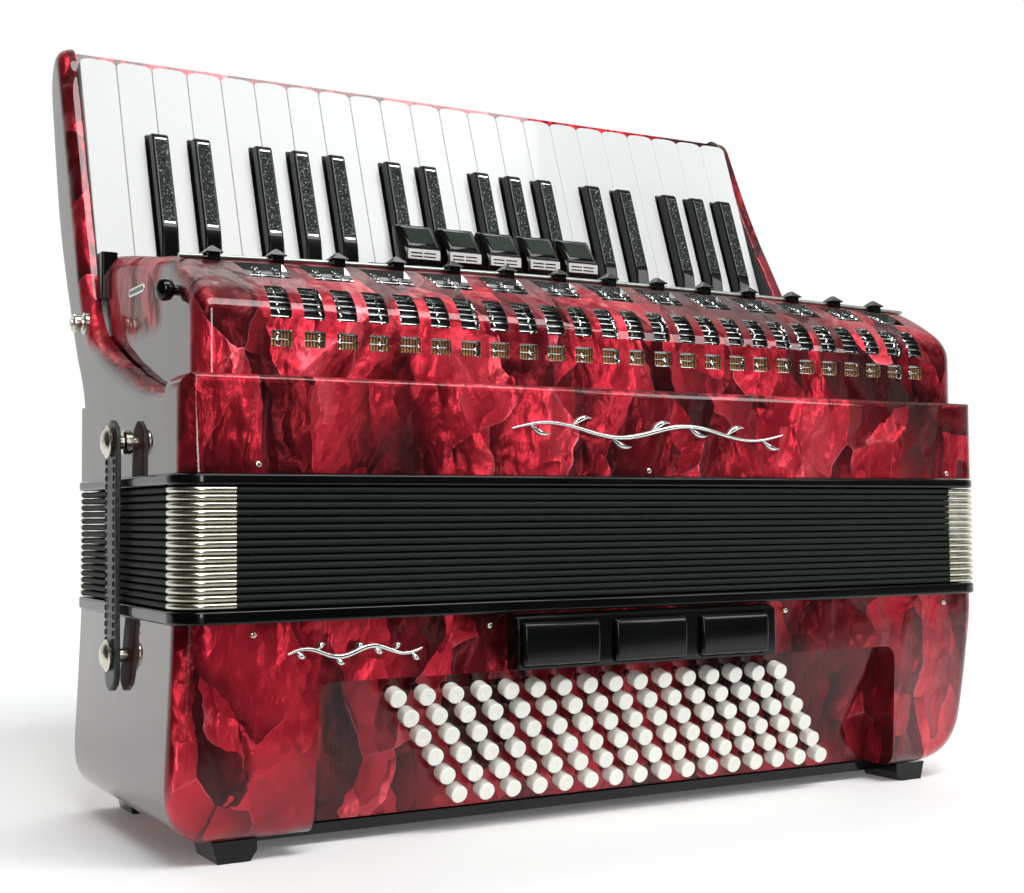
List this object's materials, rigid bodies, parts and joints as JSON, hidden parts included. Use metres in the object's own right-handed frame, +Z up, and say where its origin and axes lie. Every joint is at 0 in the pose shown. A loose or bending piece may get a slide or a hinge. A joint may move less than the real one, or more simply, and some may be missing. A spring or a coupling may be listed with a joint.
{
  "type": "piano accordion",
  "caption": "Piano accordion standing on its bass feet, with pivoting keys and register tabs, sliding bass button rows and opening bellows.",
  "frame": {"origin": "centre of the overall box at floor level, under the feet", "axes": "+X along the keyboard from the high keys to the low keys, -Y is the grille and bass button side, +Z up from the bass side to the keyboard"},
  "size_m": [0.4592, 0.2512, 0.3946],
  "materials": {
    "red_pearl": "polished pearl celluloid",
    "gloss_black": "polished black",
    "key_white": "polished white",
    "key_black": "satin black",
    "button_ivory": "polished ivory white",
    "bellows_cloth": "cloth covered card with taped folds",
    "reed_wood": "plain spruce",
    "axle_steel": "ground rod",
    "strap_leather": "black stitched leather"
  },
  "bodies": {
    "bass": {"bass_casing": "red_pearl", "bass_button_board": "red_pearl", "bass_base_plate": "gloss_black", "bass_bellows_frame": "gloss_black", "bass_register_housing": "gloss_black", "bass_reed_block": "reed_wood", "bass_hand_strap": "strap_leather", "bellows_pleats": "bellows_cloth"},
    "treble": {"treble_bellows_frame": "gloss_black", "treble_casing": "red_pearl", "keyboard_frame": "red_pearl", "key_axle": "axle_steel", "grille_cover": "red_pearl", "register_base": "gloss_black", "treble_reed_block": "reed_wood"},
    "white_key_01_body": {"white_key_01": "key_white"},
    "white_key_02_body": {"white_key_02": "key_white"},
    "white_key_03_body": {"white_key_03": "key_white"},
    "white_key_04_body": {"white_key_04": "key_white"},
    "white_key_05_body": {"white_key_05": "key_white"},
    "white_key_06_body": {"white_key_06": "key_white"},
    "white_key_07_body": {"white_key_07": "key_white"},
    "white_key_08_body": {"white_key_08": "key_white"},
    "white_key_09_body": {"white_key_09": "key_white"},
    "white_key_10_body": {"white_key_10": "key_white"},
    "white_key_11_body": {"white_key_11": "key_white"},
    "white_key_12_body": {"white_key_12": "key_white"},
    "white_key_13_body": {"white_key_13": "key_white"},
    "white_key_14_body": {"white_key_14": "key_white"},
    "white_key_15_body": {"white_key_15": "key_white"},
    "white_key_16_body": {"white_key_16": "key_white"},
    "white_key_17_body": {"white_key_17": "key_white"},
    "white_key_18_body": {"white_key_18": "key_white"},
    "white_key_19_body": {"white_key_19": "key_white"},
    "white_key_20_body": {"white_key_20": "key_white"},
    "white_key_21_body": {"white_key_21": "key_white"},
    "white_key_22_body": {"white_key_22": "key_white"},
    "black_keys_1_body": {"black_keys_1": "key_black"},
    "black_keys_2_body": {"black_keys_2": "key_black"},
    "black_keys_3_body": {"black_keys_3": "key_black"},
    "black_keys_4_body": {"black_keys_4": "key_black"},
    "black_keys_5_body": {"black_keys_5": "key_black"},
    "black_keys_6_body": {"black_keys_6": "key_black"},
    "bass_row_1_body": {"bass_row_1": "button_ivory"},
    "bass_row_2_body": {"bass_row_2": "button_ivory"},
    "bass_row_3_body": {"bass_row_3": "button_ivory"},
    "bass_row_4_body": {"bass_row_4": "button_ivory"},
    "bass_row_5_body": {"bass_row_5": "button_ivory"},
    "bass_row_6_body": {"bass_row_6": "button_ivory"},
    "treble_register_1_body": {"treble_register_1": "gloss_black"},
    "treble_register_2_body": {"treble_register_2": "gloss_black"},
    "treble_register_3_body": {"treble_register_3": "gloss_black"},
    "treble_register_4_body": {"treble_register_4": "gloss_black"},
    "treble_register_5_body": {"treble_register_5": "gloss_black"},
    "bass_register_1_body": {"bass_register_1": "gloss_black"},
    "bass_register_2_body": {"bass_register_2": "gloss_black"},
    "bass_register_3_body": {"bass_register_3": "gloss_black"},
    "bellows_strap_left_body": {"bellows_strap_left": "strap_leather"},
    "bellows_strap_right_body": {"bellows_strap_right": "strap_leather"},
    "air_button_body": {"air_button": "gloss_black"}
  },
  "joints": [
    {"name": "bellows_slide", "type": "slide", "parent": "bass", "child": "treble", "axis": [0, 0, 1], "range_m": [0, 0.4], "deforming": ["bellows_pleats"]},
    {"name": "treble_register_1_tilt", "type": "hinge", "parent": "treble", "child": "treble_register_1_body", "pos_m": [-0.0442, 0.0336, 0.2795], "axis": [-1, 0, 0], "range_deg": [0, 8]},
    {"name": "treble_register_2_tilt", "type": "hinge", "parent": "treble", "child": "treble_register_2_body", "pos_m": [-0.0187, 0.0336, 0.2795], "axis": [-1, 0, 0], "range_deg": [0, 8]},
    {"name": "treble_register_3_tilt", "type": "hinge", "parent": "treble", "child": "treble_register_3_body", "pos_m": [0.0068, 0.0336, 0.2795], "axis": [-1, 0, 0], "range_deg": [0, 8]},
    {"name": "treble_register_4_tilt", "type": "hinge", "parent": "treble", "child": "treble_register_4_body", "pos_m": [0.0323, 0.0336, 0.2795], "axis": [-1, 0, 0], "range_deg": [0, 8]},
    {"name": "treble_register_5_tilt", "type": "hinge", "parent": "treble", "child": "treble_register_5_body", "pos_m": [0.0578, 0.0336, 0.2795], "axis": [-1, 0, 0], "range_deg": [0, 8]},
    {"name": "bass_register_1_press", "type": "slide", "parent": "bass", "child": "bass_register_1_body", "axis": [0, 1, 0], "range_m": [0, 0.003]},
    {"name": "bass_register_2_press", "type": "slide", "parent": "bass", "child": "bass_register_2_body", "axis": [0, 1, 0], "range_m": [0, 0.003]},
    {"name": "bass_register_3_press", "type": "slide", "parent": "bass", "child": "bass_register_3_body", "axis": [0, 1, 0], "range_m": [0, 0.003]},
    {"name": "bass_row_1_press", "type": "slide", "parent": "bass", "child": "bass_row_1_body", "axis": [0, 0.9673, 0.2538], "range_m": [0, 0.0035]},
    {"name": "bass_row_2_press", "type": "slide", "parent": "bass", "child": "bass_row_2_body", "axis": [0, 0.9673, 0.2538], "range_m": [0, 0.0035]},
    {"name": "bass_row_3_press", "type": "slide", "parent": "bass", "child": "bass_row_3_body", "axis": [0, 0.9673, 0.2538], "range_m": [0, 0.0035]},
    {"name": "bass_row_4_press", "type": "slide", "parent": "bass", "child": "bass_row_4_body", "axis": [0, 0.9673, 0.2538], "range_m": [0, 0.0035]},
    {"name": "bass_row_5_press", "type": "slide", "parent": "bass", "child": "bass_row_5_body", "axis": [0, 0.9673, 0.2538], "range_m": [0, 0.0035]},
    {"name": "bass_row_6_press", "type": "slide", "parent": "bass", "child": "bass_row_6_body", "axis": [0, 0.9673, 0.2538], "range_m": [0, 0.0035]},
    {"name": "air_button_press", "type": "slide", "parent": "bass", "child": "air_button_body", "axis": [-1, 0, 0], "range_m": [0, 0.004]},
    {"name": "bellows_strap_left_swing", "type": "hinge", "parent": "treble", "child": "bellows_strap_left_body", "pos_m": [-0.2281, -0.0339, 0.1756], "axis": [-1, 0, 0], "range_deg": [0, 120]},
    {"name": "bellows_strap_right_swing", "type": "hinge", "parent": "treble", "child": "bellows_strap_right_body", "pos_m": [0.2281, -0.0339, 0.1756], "axis": [-1, 0, 0], "range_deg": [0, 120]},
    {"name": "black_keys_1_press", "type": "hinge", "parent": "treble", "child": "black_keys_1_body", "pos_m": [0, 0.04537, 0.22631], "axis": [-1, 0, 0], "range_deg": [0, 1.4]},
    {"name": "black_keys_2_press", "type": "hinge", "parent": "treble", "child": "black_keys_2_body", "pos_m": [0, 0.04537, 0.22631], "axis": [-1, 0, 0], "range_deg": [0, 1.4]},
    {"name": "black_keys_3_press", "type": "hinge", "parent": "treble", "child": "black_keys_3_body", "pos_m": [0, 0.04537, 0.22631], "axis": [-1, 0, 0], "range_deg": [0, 1.4]},
    {"name": "black_keys_4_press", "type": "hinge", "parent": "treble", "child": "black_keys_4_body", "pos_m": [0, 0.04537, 0.22631], "axis": [-1, 0, 0], "range_deg": [0, 1.4]},
    {"name": "black_keys_5_press", "type": "hinge", "parent": "treble", "child": "black_keys_5_body", "pos_m": [0, 0.04537, 0.22631], "axis": [-1, 0, 0], "range_deg": [0, 1.4]},
    {"name": "black_keys_6_press", "type": "hinge", "parent": "treble", "child": "black_keys_6_body", "pos_m": [0, 0.04537, 0.22631], "axis": [-1, 0, 0], "range_deg": [0, 1.4]},
    {"name": "white_key_01_press", "type": "hinge", "parent": "treble", "child": "white_key_01_body", "pos_m": [-0.2034, 0.04537, 0.22631], "axis": [-1, 0, 0], "range_deg": [0, 1.4]},
    {"name": "white_key_02_press", "type": "hinge", "parent": "treble", "child": "white_key_02_body", "pos_m": [-0.184, 0.04537, 0.22631], "axis": [-1, 0, 0], "range_deg": [0, 1.4]},
    {"name": "white_key_03_press", "type": "hinge", "parent": "treble", "child": "white_key_03_body", "pos_m": [-0.1646, 0.04537, 0.22631], "axis": [-1, 0, 0], "range_deg": [0, 1.4]},
    {"name": "white_key_04_press", "type": "hinge", "parent": "treble", "child": "white_key_04_body", "pos_m": [-0.1452, 0.04537, 0.22631], "axis": [-1, 0, 0], "range_deg": [0, 1.4]},
    {"name": "white_key_05_press", "type": "hinge", "parent": "treble", "child": "white_key_05_body", "pos_m": [-0.1258, 0.04537, 0.22631], "axis": [-1, 0, 0], "range_deg": [0, 1.4]},
    {"name": "white_key_06_press", "type": "hinge", "parent": "treble", "child": "white_key_06_body", "pos_m": [-0.1064, 0.04537, 0.22631], "axis": [-1, 0, 0], "range_deg": [0, 1.4]},
    {"name": "white_key_07_press", "type": "hinge", "parent": "treble", "child": "white_key_07_body", "pos_m": [-0.087, 0.04537, 0.22631], "axis": [-1, 0, 0], "range_deg": [0, 1.4]},
    {"name": "white_key_08_press", "type": "hinge", "parent": "treble", "child": "white_key_08_body", "pos_m": [-0.0676, 0.04537, 0.22631], "axis": [-1, 0, 0], "range_deg": [0, 1.4]},
    {"name": "white_key_09_press", "type": "hinge", "parent": "treble", "child": "white_key_09_body", "pos_m": [-0.0482, 0.04537, 0.22631], "axis": [-1, 0, 0], "range_deg": [0, 1.4]},
    {"name": "white_key_10_press", "type": "hinge", "parent": "treble", "child": "white_key_10_body", "pos_m": [-0.0288, 0.04537, 0.22631], "axis": [-1, 0, 0], "range_deg": [0, 1.4]},
    {"name": "white_key_11_press", "type": "hinge", "parent": "treble", "child": "white_key_11_body", "pos_m": [-0.0094, 0.04537, 0.22631], "axis": [-1, 0, 0], "range_deg": [0, 1.4]},
    {"name": "white_key_12_press", "type": "hinge", "parent": "treble", "child": "white_key_12_body", "pos_m": [0.01, 0.04537, 0.22631], "axis": [-1, 0, 0], "range_deg": [0, 1.4]},
    {"name": "white_key_13_press", "type": "hinge", "parent": "treble", "child": "white_key_13_body", "pos_m": [0.0294, 0.04537, 0.22631], "axis": [-1, 0, 0], "range_deg": [0, 1.4]},
    {"name": "white_key_14_press", "type": "hinge", "parent": "treble", "child": "white_key_14_body", "pos_m": [0.0488, 0.04537, 0.22631], "axis": [-1, 0, 0], "range_deg": [0, 1.4]},
    {"name": "white_key_15_press", "type": "hinge", "parent": "treble", "child": "white_key_15_body", "pos_m": [0.0682, 0.04537, 0.22631], "axis": [-1, 0, 0], "range_deg": [0, 1.4]},
    {"name": "white_key_16_press", "type": "hinge", "parent": "treble", "child": "white_key_16_body", "pos_m": [0.0876, 0.04537, 0.22631], "axis": [-1, 0, 0], "range_deg": [0, 1.4]},
    {"name": "white_key_17_press", "type": "hinge", "parent": "treble", "child": "white_key_17_body", "pos_m": [0.107, 0.04537, 0.22631], "axis": [-1, 0, 0], "range_deg": [0, 1.4]},
    {"name": "white_key_18_press", "type": "hinge", "parent": "treble", "child": "white_key_18_body", "pos_m": [0.1264, 0.04537, 0.22631], "axis": [-1, 0, 0], "range_deg": [0, 1.4]},
    {"name": "white_key_19_press", "type": "hinge", "parent": "treble", "child": "white_key_19_body", "pos_m": [0.1458, 0.04537, 0.22631], "axis": [-1, 0, 0], "range_deg": [0, 1.4]},
    {"name": "white_key_20_press", "type": "hinge", "parent": "treble", "child": "white_key_20_body", "pos_m": [0.1652, 0.04537, 0.22631], "axis": [-1, 0, 0], "range_deg": [0, 1.4]},
    {"name": "white_key_21_press", "type": "hinge", "parent": "treble", "child": "white_key_21_body", "pos_m": [0.1846, 0.04537, 0.22631], "axis": [-1, 0, 0], "range_deg": [0, 1.4]},
    {"name": "white_key_22_press", "type": "hinge", "parent": "treble", "child": "white_key_22_body", "pos_m": [0.204, 0.04537, 0.22631], "axis": [-1, 0, 0], "range_deg": [0, 1.4]}
  ]
}
